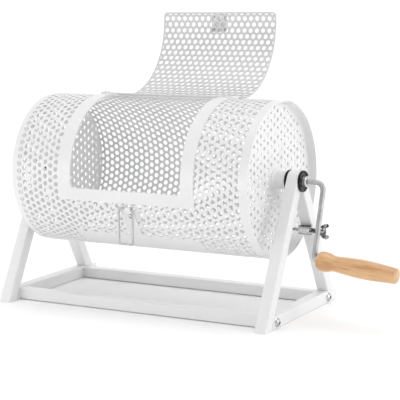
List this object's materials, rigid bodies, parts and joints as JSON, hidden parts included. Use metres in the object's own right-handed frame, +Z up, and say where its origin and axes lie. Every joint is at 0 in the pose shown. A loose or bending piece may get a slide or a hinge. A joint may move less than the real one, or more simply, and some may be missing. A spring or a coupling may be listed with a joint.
{
  "type": "raffle drum with crank",
  "caption": "Raffle drum: perforated steel drum with a curved top-hinged door and bail hasp, turned by a hand crank with a wooden grip on a welded A-frame stand with a drum lock.",
  "frame": {"origin": "on the table, under the middle of the drum", "axes": "+Z up, +X along the drum axis to the crank side, -Y to the front, where the hasp is"},
  "size_m": [0.6823, 0.3471, 0.4713],
  "materials": {
    "white_steel": "satin powder coat",
    "black_nylon": "matte",
    "zinc_steel": "zinc plated",
    "chrome": "polished",
    "beech": "clear lacquer"
  },
  "bodies": {
    "stand": {"left_front_leg": "white_steel", "left_rear_leg": "white_steel", "left_side_bar": "white_steel", "right_front_leg": "white_steel", "right_rear_leg": "white_steel", "right_side_bar": "white_steel", "front_stretcher": "white_steel", "rear_stretcher": "white_steel", "stretcher_bolts": "chrome", "left_outer_bush": "black_nylon", "left_inner_bush": "black_nylon", "right_outer_bush": "black_nylon", "right_inner_bush": "black_nylon", "lock_boss": "chrome"},
    "drum": {"drum_shell": "white_steel", "left_end_disc": "white_steel", "right_end_disc": "white_steel", "door_surround": "white_steel", "left_hub": "white_steel", "right_hub": "white_steel", "left_axle_stub": "zinc_steel", "right_axle_stub": "zinc_steel", "crank_rod": "zinc_steel", "hinge_pin": "zinc_steel", "left_hinge_bracket": "white_steel", "right_hinge_bracket": "white_steel", "hinge_rivets": "zinc_steel", "hasp_plate": "white_steel", "hasp_bolt": "chrome"},
    "door": {"door_panel": "white_steel", "staple_plate": "zinc_steel", "staple": "zinc_steel", "staple_rivets": "zinc_steel"},
    "bail": {"hasp_bail": "zinc_steel"},
    "grip": {"crank_grip": "beech"},
    "lock_plunger": {"lock_pin": "chrome"},
    "lock_ears": {"lock_wing": "chrome"}
  },
  "joints": [
    {"name": "drum_spin", "type": "hinge", "parent": "stand", "child": "drum", "pos_m": [0, 0, 0.215], "axis": [1, 0, 0], "range_deg": [-89, 166.5]},
    {"name": "door_hinge", "type": "hinge", "parent": "drum", "child": "door", "pos_m": [0, 0.02976, 0.33898], "axis": [1, 0, 0], "range_deg": [0, 183]},
    {"name": "bail_swing", "type": "hinge", "parent": "drum", "child": "bail", "pos_m": [0, -0.12254, 0.17281], "axis": [1, 0, 0], "range_deg": [-163, 25]},
    {"name": "grip_spin", "type": "hinge", "parent": "drum", "child": "grip", "pos_m": [0.286, -0.03788, 0.10114], "axis": [0.9951, -0.0314, -0.0942], "continuous": true},
    {"name": "lock_feed", "type": "slide", "parent": "stand", "child": "lock_plunger", "axis": [-1, 0, 0], "range_m": [0, 0.012]},
    {"name": "lock_turn", "type": "hinge", "parent": "lock_plunger", "child": "lock_ears", "pos_m": [0.27, 0.0325, 0.132], "axis": [-1, 0, 0], "range_deg": [0, 3460]}
  ],
  "couplings": [
    {"joint": "lock_turn", "follows": "lock_feed", "rad_per_m": 5026.5}
  ]
}
